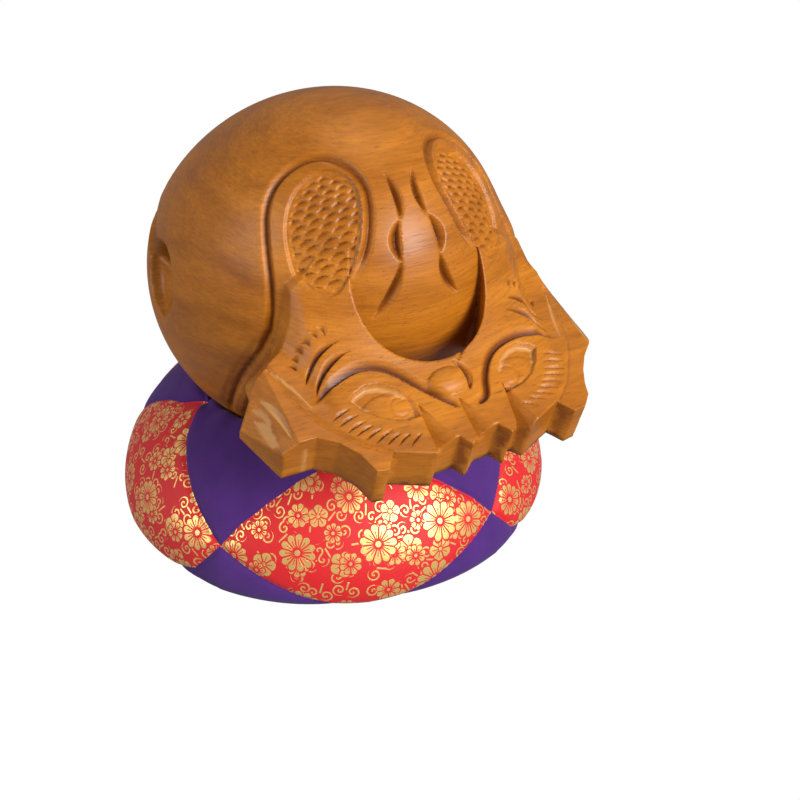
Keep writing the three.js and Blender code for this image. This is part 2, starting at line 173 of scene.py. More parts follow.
def drum_field(p):
    """Below zero in the wood and above it in the air, before the fine carving."""
    field = body_depth(p)
    x, up, out = tilted(p, handle_origin, handle_tilt)
    v = -up
    near = (v > 20) & (np.abs(x) < 90) & (out > -40) & (out < 60)
    q = p[near]
    hx, hv, ho = x[near], v[near], out[near]
    slab = np.maximum(face_rise(q), -(ho + handle_thickness))
    spread = neck_spread * np.clip(-slab, 0, neck_spread_depth)
    spread *= smooth((hv - 30) / 10) * smooth((82 - hv) / 10) * (np.abs(hx) > 36)
    slab = np.maximum(slab, (outline_distance(hx, hv, handle_outline) - spread) * 0.9)
    slab = np.maximum(slab, finger_hole_radius - np.hypot(hx, hv - finger_hole_reach))
    flank = np.stack([np.abs(hx), hv, ho], 1) - flank_point
    slab = np.maximum(slab, flank @ flank_normal)
    for tip, shallow, deep in snout_wedges:
        normal, point = plane_through((*tip, 0), (*shallow, 0), (*deep, -snout_wedge_depth))
        floor = (np.stack([hx, hv, ho], 1) - point) @ (normal * np.sign(normal[2]))
        inside = outline_distance(hx, hv, np.array([tip, shallow, deep]))
        slab = np.maximum(slab, -np.maximum(inside, -floor))
    field[near] = np.minimum(field[near], slab)
    from_shoulder = ((p - shoulder_centre) ** 2).sum(1)
    field -= shoulder_rise * np.exp(-from_shoulder / (2 * shoulder_spread ** 2))
    field = np.maximum(field, -body_depth(p, -wall))
    sx, su, so = tilted(p, slit_start, slit_tilt)
    slit = np.maximum(np.abs(so) - slit_height / 2, -su)
    field = np.maximum(field, -slit)
    start = slit_start + (0, -math.sin(sound_hole_sweep) * body_half_width, 0)
    d = p - start
    along = np.abs(d[:, 0]) * math.cos(sound_hole_sweep) + d[:, 1] * math.sin(sound_hole_sweep)
    side = -np.abs(d[:, 0]) * math.sin(sound_hole_sweep) + d[:, 1] * math.cos(sound_hole_sweep)
    round_hole = np.hypot(side, d[:, 2])
    opened = sound_hole_radius + (sound_hole_dish_radius - sound_hole_radius) * np.clip(
        (along - body_half_width + sound_hole_dish_depth) / sound_hole_dish_depth, 0, 1.3)
    return np.maximum(field, -np.maximum((round_hole - opened) * 0.8, -along))


def slope(field, p, step=0.08):
    ways = np.array([[1, -1, -1], [-1, -1, 1], [-1, 1, -1], [1, 1, 1]], float)
    total = np.zeros(p.shape)
    for way in ways:
        total += way * field(p + way * step)[:, None]
    return total / (4 * step)


def onto_surface(field, p, rounds=3):
    p = p.copy()
    for _ in range(rounds):
        g = slope(field, p)
        length = np.maximum((g * g).sum(1), 0.05)
        move = field(p)[:, None] * g / length[:, None]
        far = np.maximum(np.linalg.norm(move, axis=1), 1e-9)
        p -= move * np.minimum(1, 1.5 / far)[:, None]
    return p


def net_over(field, low, high, pitch):
    """Triangles over the zero level of a field, one point in each grid cell that it passes through."""
    axes = [np.arange(low[i], high[i] + pitch, pitch) for i in range(3)]
    shape = tuple(len(a) for a in axes)
    grid = np.stack(np.meshgrid(*axes, indexing="ij"), -1).reshape(-1, 3)
    values = np.concatenate([field(part) for part in np.array_split(grid, max(1, len(grid) // 150000))])
    values = values.reshape(shape)
    solid = values < 0
    total = np.zeros(tuple(n - 1 for n in shape) + (3,))
    count = np.zeros(tuple(n - 1 for n in shape))
    crossings = []
    for axis in range(3):
        near = [slice(None)] * 3
        far = [slice(None)] * 3
        near[axis] = slice(0, -1)
        far[axis] = slice(1, None)
        a, b = values[tuple(near)], values[tuple(far)]
        cells = np.argwhere(solid[tuple(near)] != solid[tuple(far)])
        t = a[tuple(cells.T)] / (a[tuple(cells.T)] - b[tuple(cells.T)])
        point = cells.astype(float)
        point[:, axis] += t
        crossings.append((axis, cells))
        others = [i for i in range(3) if i != axis]
        for du in (0, 1):
            for dv in (0, 1):
                cell = cells.copy()
                cell[:, others[0]] -= du
                cell[:, others[1]] -= dv
                ok = np.all((cell >= 0) & (cell < np.array(shape) - 1), axis=1)
                np.add.at(total, tuple(cell[ok].T), point[ok])
                np.add.at(count, tuple(cell[ok].T), 1)
    used = count > 0
    number = np.full(count.shape, -1)
    number[used] = np.arange(used.sum())
    vertices = np.array(low) + total[used] / count[used][:, None] * pitch
    faces = []
    for axis, cells in crossings:
        others = [(axis + 1) % 3, (axis + 2) % 3]
        ring = []
        for du, dv in ((0, 0), (1, 0), (1, 1), (0, 1)):
            cell = cells.copy()
            cell[:, others[0]] -= du
            cell[:, others[1]] -= dv
            ring.append(cell)
        ok = np.all([np.all((c >= 0) & (c < np.array(shape) - 1), axis=1) for c in ring], axis=0)
        quad = np.stack([number[tuple(c[ok].T)] for c in ring], 1)
        outward = solid[tuple(cells[ok].T)]
        quad[~outward] = quad[~outward][:, ::-1]
        faces.append(quad)
    quads = np.vstack(faces)
    triangles = np.vstack([quads[:, [0, 2, 1]], quads[:, [0, 3, 2]]])
    return vertices, triangles[:, ::-1]


def halve_long_edges(vertices, triangles, wanted):
    """Splits each edge longer than wanted(middle) in half, and each triangle to match."""
    edges = np.sort(triangles[:, [[0, 1], [1, 2], [2, 0]]].reshape(-1, 2), axis=1)
    keys, back = np.unique(edges[:, 0] * len(vertices) + edges[:, 1], return_inverse=True)
    ends = np.stack([keys // len(vertices), keys % len(vertices)], 1)
    middles = vertices[ends].mean(1)
    length = np.linalg.norm(vertices[ends[:, 0]] - vertices[ends[:, 1]], axis=1)
    split = length > wanted(middles)
    number = np.full(len(keys), -1)
    number[split] = len(vertices) + np.arange(split.sum())
    marks = number[back].reshape(-1, 3)
    count = (marks >= 0).sum(1)
    done = [triangles[count == 0]]
    turn = np.array([[0, 1, 2], [1, 2, 0], [2, 0, 1]])
    for first in range(3):
        order = turn[first]
        t, m = triangles[:, order], marks[:, order]
        one = (count == 1) & (m[:, 0] >= 0)
        a, b, c = t[one].T
        ab = m[one, 0]
        done += [np.stack([a, ab, c], 1), np.stack([ab, b, c], 1)]
        two = (count == 2) & (m[:, 2] < 0)
        a, b, c = t[two].T
        ab, bc = m[two, 0], m[two, 1]
        done += [np.stack([ab, b, bc], 1)]
        short = (np.linalg.norm((vertices[a] + vertices[b]) / 2 - vertices[c], axis=1)
                 < np.linalg.norm((vertices[b] + vertices[c]) / 2 - vertices[a], axis=1))
        done += [np.where(short[:, None], np.stack([ab, bc, c], 1), np.stack([ab, bc, a], 1)),
                 np.where(short[:, None], np.stack([a, ab, c], 1), np.stack([bc, c, a], 1))]
    a, b, c = triangles[count == 3].T
    ab, bc, ca = marks[count == 3].T
    done += [np.stack([a, ab, ca], 1), np.stack([ab, b, bc], 1),
             np.stack([ca, bc, c], 1), np.stack([ab, bc, ca], 1)]
    return np.vstack([vertices, middles[split]]), np.vstack(done)


def sharpen(field, vertices, triangles, rounds=2, hold=0.06):
    """Moves points onto the edges where flat cuts meet, from the surface's slope at each triangle."""
    for _ in range(rounds):
        centres = onto_surface(field, vertices[triangles].mean(1), 1)
        normals = slope(field, centres)
        normals /= np.linalg.norm(normals, axis=1)[:, None] + 1e-9
        parts = normals[:, :, None] * normals[:, None, :]
        goal = np.einsum("nij,nj->ni", parts, centres)
        matrix = np.zeros((len(vertices), 3, 3))
        vector = np.zeros((len(vertices), 3))
        count = np.zeros(len(vertices))
        middle = np.zeros((len(vertices), 3))
        for corner in range(3):
            index = triangles[:, corner]
            count += np.bincount(index, minlength=len(vertices))
            for i in range(3):
                vector[:, i] += np.bincount(index, goal[:, i], len(vertices))
                middle[:, i] += np.bincount(index, centres[:, i], len(vertices))
                for j in range(3):
                    matrix[:, i, j] += np.bincount(index, parts[:, i, j], len(vertices))
        count = np.maximum(count, 1)[:, None]
        middle /= count
        matrix = matrix / count[:, :, None] + hold * np.eye(3)
        vector = vector / count + hold * middle
        moved = np.linalg.solve(matrix, vector[:, :, None])[:, :, 0]
        size = np.linalg.norm(vertices[triangles[:, 0]] - vertices[triangles[:, 1]], axis=1)
        reach = np.zeros(len(vertices))
        np.maximum.at(reach, triangles[:, 0], size)
        move = moved - vertices
        far = np.linalg.norm(move, axis=1)
        vertices = vertices + move * np.minimum(1, 0.8 * (reach + 0.1) / (far + 1e-9))[:, None]
    return vertices


# The carving, as [across, up the body] on a plane at 45 degrees for the two fish bodies and the waves
# between them, and as [across, down the face] for the heads. The groove's tail is set in the round.
groove_edge = soft_corner([(25, -30.4), (18, -22.2), (13.6, -10), (11.5, 1.5), (14.5, 12.5), (21, 20),
                           (30, 21), (39, 17), (44.6, 10), (47.5, 2), (49.3, -8), (50.1, -17), (50.9, -25)])
groove_tail = [(51.8, -52.7, 10.8), (54.5, -47.9, 0.4), (58.1, -38.2, -12.8), (59, -25.1, -29.9),
               (57.5, -14.7, -42.3), (52, -4, -55)]
groove_bottom = 1.7
groove_width = 4.2
groove_depth = 2.7
panel_edge = soft_corner([(37, -29.6), (34, -31.2), (31, -31), (28, -29.2), (23, -22.8), (18.6, -13),
                          (16, -3), (16.2, 5), (19.8, 10.8), (25, 13), (31.5, 11.4), (36.8, 7.4), (40.4, 1.5),
                          (42.4, -5), (43, -12), (42.6, -19), (40.4, -25.6), (37, -29.6)], 2)
panel_depth = 1.6
scale_rows = 15
scale_row = 2.85
scale_width_top = 4.3
scale_width_bottom = 7.0
scale_rise = 1.5
upper_waves = [((5.7, 4.4), (5.5, -14.2), -3.6), ((5.7, -13.6), (7.8, -27.6), 4.6)]
waves_left = upper_waves + [((7.8, -27), (19.6, -41), -4.6)]
waves_right = upper_waves + [((7.8, -27), (14.6, -40.2), -4.6)]
wave_depth = 3.2
brow_left = soft_corner([(-52, 98), (-43, 93.6), (-31, 91.2), (-21.8, 95.4), (-14.4, 103.6), (-8, 110.6),
                         (-1.6, 116.9)])
brow_right = soft_corner([(51.4, 99.2), (46, 95.6), (37, 94.6), (28, 95.8), (19, 99.6), (13.4, 107),
                          (11, 114), (8, 116.4), (3.2, 117)])
brow_width = 3.4
brow_depth = 2.2
eye_outline = np.array([(38.8, 100.4), (36, 98.4), (31.5, 97.2), (26.5, 98.2), (21.6, 101.6), (18.2, 106.4),
                        (17.2, 114.6), (21, 114.6), (26, 113.4), (31, 110.6), (35.4, 106.2)])
eye_centre = (26.6, 106.4)
eye_reach = (10.5, 6.2)
eye_depth = 2.3
iris_centre = (22.4, 108)
iris_radius = 3.5
lash_tops = [(39.4, 103.6), (38, 106.8), (36, 110), (34.2, 112.4), (32, 114.7), (29.4, 116.6), (26.6, 118.6),
             (23.6, 119.9), (19.8, 121.2)]
lash_feet = [(47.6, 106), (46.8, 109.2), (45, 112.6), (42.8, 115), (40.2, 117.6), (37.6, 120.2), (34, 122),
             (30.4, 123.6), (26.4, 125.3)]
lash_width = 1.5
lash_depth = 1.5
cheek_cuts = [((34.2, 80.6), (49.6, 88.2), 3.0), ((32, 84.6), (48.4, 94.4), 3.0)]
cheek_depth = 2.6
bead_tops = [(40.2, 73.9), (43.4, 73.9), (46.4, 73.6), (48.6, 73.4), (50.4, 74.8), (52, 77)]
bead_feet = [(38.4, 77.5), (41, 77.5), (43.9, 78), (46.6, 77.6), (48.6, 78.6), (50, 80.9)]
jewel_centre = (-1.6, 105.4)
jewel_reach = (8.4, 5.0)
jewel_rise = 2.6
chips = [((65.6, 84), (62.6, 107.4), 2.4, 1.2), ((68.4, 85), (66, 97.6), 1.8, 1.0),
         ((60, 74.6), (51.4, 99.5), 1.5, 0.6)]
corner_chip = np.array([(69.8, 88), (68.4, 104), (63.4, 109.4), (57.6, 110.2)])


def body_point(across, up):
    """The place on the body that lies straight above a point of the plane at 45 degrees."""
    low, high = np.zeros(len(across)), np.full(len(across), 140.0)
    way = np.array([0, -math.sqrt(0.5), math.sqrt(0.5)])
    base = drawing_origin + np.stack([across, up * math.sqrt(0.5), up * math.sqrt(0.5)], 1)
    for _ in range(30):
        middle = (low + high) / 2
        inside = body_depth(base + middle[:, None] * way) < 0
        low, high = np.where(inside, middle, low), np.where(inside, high, middle)
    return base + low[:, None] * way


groove_line = np.vstack([body_point(*groove_edge.T), drawing_origin + np.array(groove_tail)])


def crescent(x, y, a, b, bulge, depth, lean=-0.5, bow=0.0):
    """A moon-shaped cut from a to b, its inner side straight or bowed. It is deepest near that side."""
    ex, ey = b[0] - a[0], b[1] - a[1]
    length = math.hypot(ex, ey)
    t = 2 * ((x - a[0]) * ex + (y - a[1]) * ey) / length ** 2 - 1
    off = ((x - a[0]) * -ey + (y - a[1]) * ex) / length * np.sign(bulge)
    taper = np.clip(1 - t * t, 0, 1)
    off = off - bow * taper
    u = (off - abs(bulge) * taper / 2) / (abs(bulge) * taper / 2 + 1e-6)
    side = np.where(u < lean, (u + 1) / (1 + lean), (1 - u) / (1 - lean))
    return depth * np.sqrt(taper) * np.clip(side, 0, 1)


def vee(s, start, bottom, end):
    return np.clip(np.minimum((s - start) / (bottom - start), (end - s) / (end - bottom)), 0, 1)


def scales(x, q, inside):
    """Height of the fish scales: each row is cut deepest just under its row of arches and comes back up to
    the surface below them.
    """
    top, bottom = 13.0, -30.8
    height = np.zeros(x.shape)
    for row in range(scale_rows):
        crown = top - 2.0 - row * scale_row
        share = (top - crown) / (top - bottom)
        wide = scale_width_top + (scale_width_bottom - scale_width_top) * share
        shift = 0.5 * (row % 2) + 0.13 * math.sin(row * 2.1)
        across = (x - 29.5) / wide + shift
        cell = across - np.round(across)
        arch = crown - 1.3 * (2 * cell) ** 2
        below = (arch - q) / scale_row
        gouged = (1 - np.clip(below, 0, 0.85) / 0.85) * (1 - 0.85 * (2 * cell) ** 2) * smooth(below / 0.1)
        height = np.where(below > 0, np.minimum(height, -gouged), height)
    return scale_rise * height * smooth(inside / 1.0)


def fine_carving(p):
    """Wood taken off along the body's surface and off the handle's face, how raw the cut is, and how dark oil
    and painted shade lie in the cuts.
    """
    x, up, out = tilted(p, handle_origin, handle_tilt)
    v = -up
    cx, q, _ = tilted(p, drawing_origin, math.pi / 4)
    ax = np.abs(cx)
    from_body = np.zeros(len(p))
    from_face = np.zeros(len(p))
    raw = np.zeros(len(p))
    oil_and_painted_shade = np.zeros(len(p))

    stand = body_depth(p)
    near = (v < 98) & (p[:, 1] < 20) & (stand > -5) & (stand < 16)
    mirror = p[near] * (np.sign(p[near][:, :1]) * (1, 0, 0) + (0, 1, 1))
    distance, share, at, way = line_distance(mirror, groove_line)
    normal = mirror - body_centre
    side = np.sign(np.einsum("ni,ni->n", np.cross(way, normal), mirror - at))
    s = distance * side
    ends = smooth(share / 0.07) * smooth((1 - share) / 0.1)
    tail = smooth((share - 0.62) / 0.06)
    cut = groove_depth * vee(s, -0.3, groove_bottom, groove_width) * ends
    cut = np.maximum(cut, 0.9 * smooth((s + 3.5) / 3.5) * (s < 0) * ends * tail)
    cut = np.maximum(cut, 1.6 * vee(s, 7.6, 8.8, 10.2) * ends * tail)
    from_body[near] = cut * smooth((15 - stand[near]) / 4)
    # The groove is darkened by its depth, partly as oil settled in it and partly as painted shade.
    oil_and_painted_shade[near] = from_body[near] / groove_depth * 0.8
    near = near & (q > -45) & (q < 25) & (ax < 62) & (out > 3)
    inside = -outline_distance(ax[near], q[near], panel_edge)
    step = panel_depth * smooth(inside / 0.55)
    lifted = scales(ax[near], q[near], inside - 0.9)
    lip = 0.5 * vee(inside, -0.2, 0.5, 1.3) * smooth((-22 - q[near]) / 4)
    from_body[near] = np.maximum(from_body[near] * (inside < 0), 0) + step + lip - lifted
    # Painted shadow under each scale's arch, with oil, darkest where the gouge is deepest.
    oil_and_painted_shade[near] = np.maximum(oil_and_painted_shade[near], -1.1 * lifted / scale_rise)
    for sign, waves in ((-1, waves_left), (1, waves_right)):
        for a, b, bulge in waves:
            cut = crescent(cx[near] * sign, q[near], a, b, bulge, wave_depth, -0.3)
            from_body[near] = np.maximum(from_body[near], cut)
            # The wave cuts are darkened by their depth, as oil and as painted shade.
            oil_and_painted_shade[near] = np.maximum(oil_and_painted_shade[near], 1.2 * cut / wave_depth)

    near = (v > 60) & (out > -20)
    hx, hv = x[near], v[near]
    mx = np.abs(hx)
    cut = np.zeros(len(hx))
    fresh = np.zeros(len(hx))
    plan = np.stack([hx, hv], 1)
    for brow, mirrored in ((brow_left, -1), (brow_right, 1)):
        distance, share, at, way = line_distance(plan, brow)
        off = (way[:, 0] * (plan - at)[:, 1] - way[:, 1] * (plan - at)[:, 0]) * mirrored
        s = distance * np.where(off > 0, -1, 1)
        ends = smooth(share / 0.16) * smooth((1 - share) / 0.08)
        cut = np.maximum(cut, brow_depth * vee(-s, -0.5, 0.5, brow_width) * ends)
    inside = -outline_distance(mx, hv, eye_outline)
    swell = np.hypot((mx - eye_centre[0]) / eye_reach[0], (hv - eye_centre[1] - 1) / eye_reach[1])
    ball = 1.5 * np.sqrt(np.clip(1 - swell ** 2, 0, 1))
    iris = np.hypot(mx - iris_centre[0], hv - iris_centre[1])
    sunk = eye_depth * smooth((inside + 0.1) / 0.7) - ball * smooth(inside / 0.6)
    ring = vee(iris, iris_radius - 0.5, iris_radius, iris_radius + 0.9)
    sunk += 0.55 * ring * (inside > 0) * (mx > iris_centre[0] - 1.5)
    cut = np.where(inside > -0.2, np.maximum(cut, np.maximum(sunk, 0)), cut)
    fresh = np.maximum(fresh, smooth((inside - 0.1) / 0.4) * smooth((2.1 - inside) / 0.7) * (hv < 106))
    for a, b in zip(lash_tops, lash_feet):
        cut = np.maximum(cut, crescent(mx, hv, a, b, -lash_width, lash_depth, -0.2))
    for a, b, bulge in cheek_cuts:
        cut = np.maximum(cut, crescent(mx, hv, a, b, -bulge, cheek_depth, -0.4, 1.8))
    for a, b in zip(bead_tops, bead_feet):
        cut = np.maximum(cut, crescent(mx, hv, a, b, 1.7, 1.5, 0.2))
    for a, b, bulge, depth in chips:
        chip = crescent(mx, hv, a, b, bulge, depth, 0.2)
        cut = np.maximum(cut, chip)
        fresh = np.maximum(fresh, smooth(chip / 0.25))
    chip = -outline_distance(mx, hv, corner_chip) * (out[near] < -6)
    fresh = np.maximum(fresh, smooth(chip / 0.3))
    groove = crescent(hx, hv, (19.4, 89.2), (3.4, 100.4), 1.6, 1.4, 0)
    hollow = crescent(hx, hv, (3.2, 98.4), (4.6, 110.6), -4.2, 2.4, -0.3)
    cut = np.maximum(cut, np.maximum(groove, hollow))
    # The face's cuts are darkened by their depth, as oil and as painted shade.
    oil_and_painted_shade[near] = np.maximum(oil_and_painted_shade[near], cut / 1.5 * (inside < 0))
    stone = np.hypot((hx - jewel_centre[0]) / jewel_reach[0], (hv - jewel_centre[1]) / jewel_reach[1])
    cut -= jewel_rise * np.sqrt(np.clip(1 - stone ** 2, 0, 1))
    mane = outline_distance(mx, hv, np.array(crease + [(33.6, 150), (99, 150), (99, 72)]))
    cut += mane_step * smooth((0.5 - mane) / 1.0) + 0.7 * vee(mane, -0.9, 0, 0.9) * (hv < 124) * (hv > 73)
    from_face[near] = cut
    raw[near] = fresh
    return from_body, from_face, raw, oil_and_painted_shade


def mesh_piece(name, vertices, triangles, material, unit=0.001):
    mesh = bpy.data.meshes.new(name)
    mesh.vertices.add(len(vertices))
    mesh.vertices.foreach_set("co", (vertices * unit).astype(np.float32).ravel())
    mesh.loops.add(triangles.size)
    mesh.loops.foreach_set("vertex_index", triangles.astype(np.int32).ravel())
    mesh.polygons.add(len(triangles))
    mesh.polygons.foreach_set("loop_start", np.arange(0, triangles.size, 3, dtype=np.int32))
    mesh.update(calc_edges=True)
    mesh.validate()
    mesh.materials.append(material)
    piece = bpy.data.objects.new(name, mesh)
    bpy.context.scene.collection.objects.link(piece)
    return piece


def linear(colour):
    """The linear colour of an sRGB hex value."""
    channels = [int(colour[i:i + 2], 16) / 255 for i in (1, 3, 5)]
    return [c / 12.92 if c <= 0.04045 else ((c + 0.055) / 1.055) ** 2.4 for c in channels] + [1.0]


def add(tree, kind, *inputs, **named):
    """Adds a node. Inputs come in order or by name, i3 being the fourth; lower-case names are settings."""
    node = tree.nodes.new("ShaderNode" + kind)
    places = list(enumerate(inputs))
    for name, value in named.items():
        if name[0] == "i" and name[1:].isdigit():
            places.append((int(name[1:]), value))
        elif name.islower():
            setattr(node, name, value)
        else:
            places.append((name.replace("_", " "), value))
    for place, value in places:
        if isinstance(value, bpy.types.Node):
            value = value.outputs[0]
        if isinstance(value, bpy.types.NodeSocket):
            tree.links.new(value, node.inputs[place])
        else:
            node.inputs[place].default_value = value
    return node


def new_material(name):
    material = bpy.data.materials.new(name)
    material.use_nodes = True
    tree = material.node_tree
    tree.nodes.clear()
    return material, tree


# Camphor, cut across the front of the block and oiled: honey-brown with short dark pores 0.3 mm
# wide and 5 mm long that run across, faint growth bands 9 mm apart, and a satin gloss. Oil settles
# dark in the deep cuts, and the cuts are darkened further with painted shade; raw cuts at small
# chips are paler and dry.
camphor, tree = new_material("oiled_camphor_wood")
place = add(tree, "TexCoord").outputs["Object"]
sway = add(tree, "TexNoise", place, Scale=14.0, Detail=2.0)
drift = add(tree, "VectorMath", sway.outputs["Color"], (0.008, 0.008, 0.008), operation="MULTIPLY")
bent = add(tree, "VectorMath", place, drift, operation="ADD")
along = add(tree, "Mapping", bent, i3=(0.12, 0.3, 1.0))
bands = add(tree, "TexNoise", along, Scale=110.0, Detail=3.0, Roughness=0.55)
fibre = add(tree, "TexNoise", add(tree, "Mapping", bent, i3=(0.06, 0.2, 1.0)), Scale=1500.0, Detail=2.0)
pores = add(tree, "TexNoise", add(tree, "Mapping", place, i3=(0.065, 1.0, 1.0)), Scale=2600.0, Detail=1.0)
pore = add(tree, "MapRange", pores, i1=0.64, i2=0.74, i3=0.0, i4=1.0)
clouds = add(tree, "TexNoise", place, Scale=26.0, Detail=2.0)
tone = add(tree, "ValToRGB", bands)
tone.color_ramp.elements[0].position = 0.12
tone.color_ramp.elements[0].color = linear("#84460B")
tone.color_ramp.elements[1].position = 0.88
tone.color_ramp.elements[1].color = linear("#C2771A")
fine = add(tree, "Mix", data_type="RGBA", blend_type="OVERLAY", i0=0.35, i6=tone, i7=fibre)
dark = add(tree, "Mix", data_type="RGBA", i0=add(tree, "Math", pore, 0.55, operation="MULTIPLY"),
           i6=fine.outputs[2], i7=linear("#4A2408"))
worn = add(tree, "MapRange", clouds, i1=0.4, i2=0.7, i3=0.0, i4=0.12)
aged = add(tree, "Mix", data_type="RGBA", blend_type="MULTIPLY", i0=worn, i6=dark.outputs[2],
           i7=linear("#E0B070"))
# Darkens the wood in the knife cuts with a brown multiply: partly oil settled there, partly painted shade.
depth = add(tree, "Attribute", attribute_name="oil_and_painted_shade_in_cuts")
settled = add(tree, "MapRange", depth.outputs["Fac"], i1=0.35, i2=1.0, i3=0.0, i4=0.85)
oil_and_shade_darkened = add(tree, "Mix", data_type="RGBA", blend_type="MULTIPLY", i0=settled, i6=aged.outputs[2],
              i7=linear("#7A4A22"))
chip = add(tree, "Attribute", attribute_name="raw_cut")
dry = add(tree, "Math", chip.outputs["Fac"], 0.5, operation="MULTIPLY")
bare = add(tree, "Mix", data_type="RGBA", i0=dry, i6=oil_and_shade_darkened.outputs[2], i7=linear("#C99A62"))
gloss = add(tree, "MapRange", bands, i1=0.3, i2=0.7, i3=0.36, i4=0.48)
relief = add(tree, "Math", fibre, pore, operation="SUBTRACT")
bump = add(tree, "Bump", Strength=0.12, Distance=0.0004, Height=relief)
shader = add(tree, "BsdfPrincipled", bare.outputs[2], Roughness=gloss, IOR=1.46, Specular_IOR_Level=0.35,
             Normal=bump)
add(tree, "OutputMaterial", shader)


def wanted_edge(p):
    """Longest edge in millimetres: short at each cut of the knife, longer on the plain wood."""
    x, up, out = tilted(p, handle_origin, handle_tilt)
    cx, q, rise = tilted(p, drawing_origin, math.pi / 4)
    on_body = (np.abs(body_depth(p)) < 6) & (rise > 30) & (np.abs(cx) < 60) & (q < 24) & (q > -46)
    on_face = (out > -4) & (-up > 62) & (-up < 136)
    beside = (p[:, 1] < 10) & (np.abs(cx) > 45) & (out < 0) & (out > -80) & (body_depth(p) > -4)
    size = np.where(on_body | on_face, 1.35, 9.0)
    drawn = np.flatnonzero(on_body | on_face)
    for step in ((0, 0, 0), (0.5, 0, 0), (-0.5, 0, 0), (0, 0.35, 0.35), (0, -0.35, -0.35)):
        body_cut, face_cut, _, _ = fine_carving(p[drawn] + step)
        size[drawn[np.abs(body_cut) + np.abs(face_cut) > 0.06]] = 0.76
    return np.where(beside & ~on_face & ~on_body, 1.6, size)


points, triangles = net_over(drum_field, (-80, -138, 40), (80, 76, 200), 2.4)
points = sharpen(drum_field, onto_surface(drum_field, points, 2), triangles)
for _ in range(4):
    count = len(points)
    points, triangles = halve_long_edges(points, triangles, wanted_edge)
    points[count:] = onto_surface(drum_field, points[count:], 2)
    points = sharpen(drum_field, points, triangles, 1)
body_cut, face_cut, raw, oil_and_painted_shade = fine_carving(points)
outward = slope(body_depth, points)
outward /= np.linalg.norm(outward, axis=1)[:, None]
face_way = np.array([0, -math.sin(handle_tilt), math.cos(handle_tilt)])
fade_body = smooth(1 + np.minimum(body_depth(points), 0) / 5)
fade_face = smooth(1 + np.minimum(face_rise(points), 0) / 5)
body_cut *= fade_body
face_cut *= fade_face
points = points - outward * body_cut[:, None] - face_way * face_cut[:, None]
oil_and_painted_shade = np.clip(oil_and_painted_shade * np.minimum(fade_body, 1), 0, 1)
drum = mesh_piece("drum_carved", points, triangles, camphor)
drum.data.attributes.new("raw_cut", "FLOAT", "POINT").data.foreach_set("value", raw.astype(np.float32))
# How dark oil and painted shade lie in each cut, faded where the carving fades.
drum.data.attributes.new("oil_and_painted_shade_in_cuts", "FLOAT", "POINT").data.foreach_set("value", oil_and_painted_shade.astype(np.float32))
drum.data.shade_smooth()
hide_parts("drum")
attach(drum, "root")

# The cushion: a round pad sewn from five diamonds of red and gold brocade set in plain violet
# cotton, stuffed hard with cotton wool, and pressed into a dish on top by the drum.
cushion_radius = 97.6
girth_height = 16.0
crown_height = 69.0
crown_power = 1.79
foot_power = 2.27
side_corners = [-54.9, 21.1, 92.1, 163.1, 234.1, 305.1]
upper_edge = [(0, 31.6), (0.06, 36.6), (0.12, 41.4), (0.3, 50.2), (0.51, 57.2), (0.75, 61.6), (1, 67.4)]
pinched_edge = [(0, 31.6), (0.15, 37.5), (0.33, 43.5), (0.52, 49.5), (0.8, 57.5), (0.93, 63.6), (1, 67.4)]
steep_edge = [(0, 0), (0.2, -15), (0.5, -24), (1, -30)]
lower_edge = [(0, 0), (0.32, -9), (0.63, -17.5), (1, -28)]
seam_sink = 1.0
puff = 1.6
puff_reach = 9.0
dish_gap = 0.4
panel_radius = 95.0
rough_spokes, rough_rows = 120, 48
fine_spokes, fine_rows = 480, 190
most_swelling = 4.0


def cushion_row(count):
    """Points down one line from the centre of the top to the centre of the base: radius, height, length."""
    turn = np.linspace(0, math.pi / 2, 400)
    r = cushion_radius * np.sin(turn) ** (2 / crown_power)
    z = girth_height + crown_height * np.cos(turn) ** (2 / crown_power)
    foot = cushion_radius * np.cos(turn) ** (2 / foot_power)
    under = girth_height - (girth_height + 1.6) * np.sin(turn) ** (2 / foot_power)
    r = np.concatenate([r, foot[1:]])
    z = np.concatenate([z, np.maximum(under[1:], 0)])
    length = np.concatenate([[0], np.cumsum(np.hypot(np.diff(r), np.diff(z)))])
    even = np.linspace(0, length[-1], count)
    r, z = np.interp(even, length, r), np.interp(even, length, z)
    waist = np.interp(-31.6, -z, even)
    return r, z, waist - even


def drum_underside(x, y):
    low = np.full(x.shape, 0.0)
    high = np.full(x.shape, 111.0)
    for _ in range(26):
        middle = (low + high) / 2
        inside = body_depth(np.stack([x, y, middle], -1).reshape(-1, 3)).reshape(x.shape) < 0
        low, high = np.where(inside, low, middle), np.where(inside, middle, high)
    return low


def padded_grid(spokes, rows):
    """The cushion before its seams are pulled in, with each point's turn and place on its line."""
    r, z, up = cushion_row(rows)
    turn = np.linspace(0, 360, spokes, endpoint=False) - 125
    a = np.radians(turn)
    x, y = np.outer(r, np.sin(a)), -np.outer(r, np.cos(a))
    z = np.repeat(z[:, None], spokes, 1)
    top = up > 14
    under = drum_underside(x[top], y[top]) - dish_gap
    mix = np.clip(0.5 + (under - z[top]) / 10, 0, 1)
    z[top] = under * (1 - mix) + z[top] * mix - 5 * mix * (1 - mix)
    return np.stack([x, y, z], -1), np.repeat(turn[None, :], rows, 0), np.repeat(up[:, None], spokes, 1)


def heights_to_lengths(edge):
    r, z, up = cushion_row(2000)
    share, height = np.array(edge).T
    return share, np.interp(-height, -z[up > -5], up[up > -5])


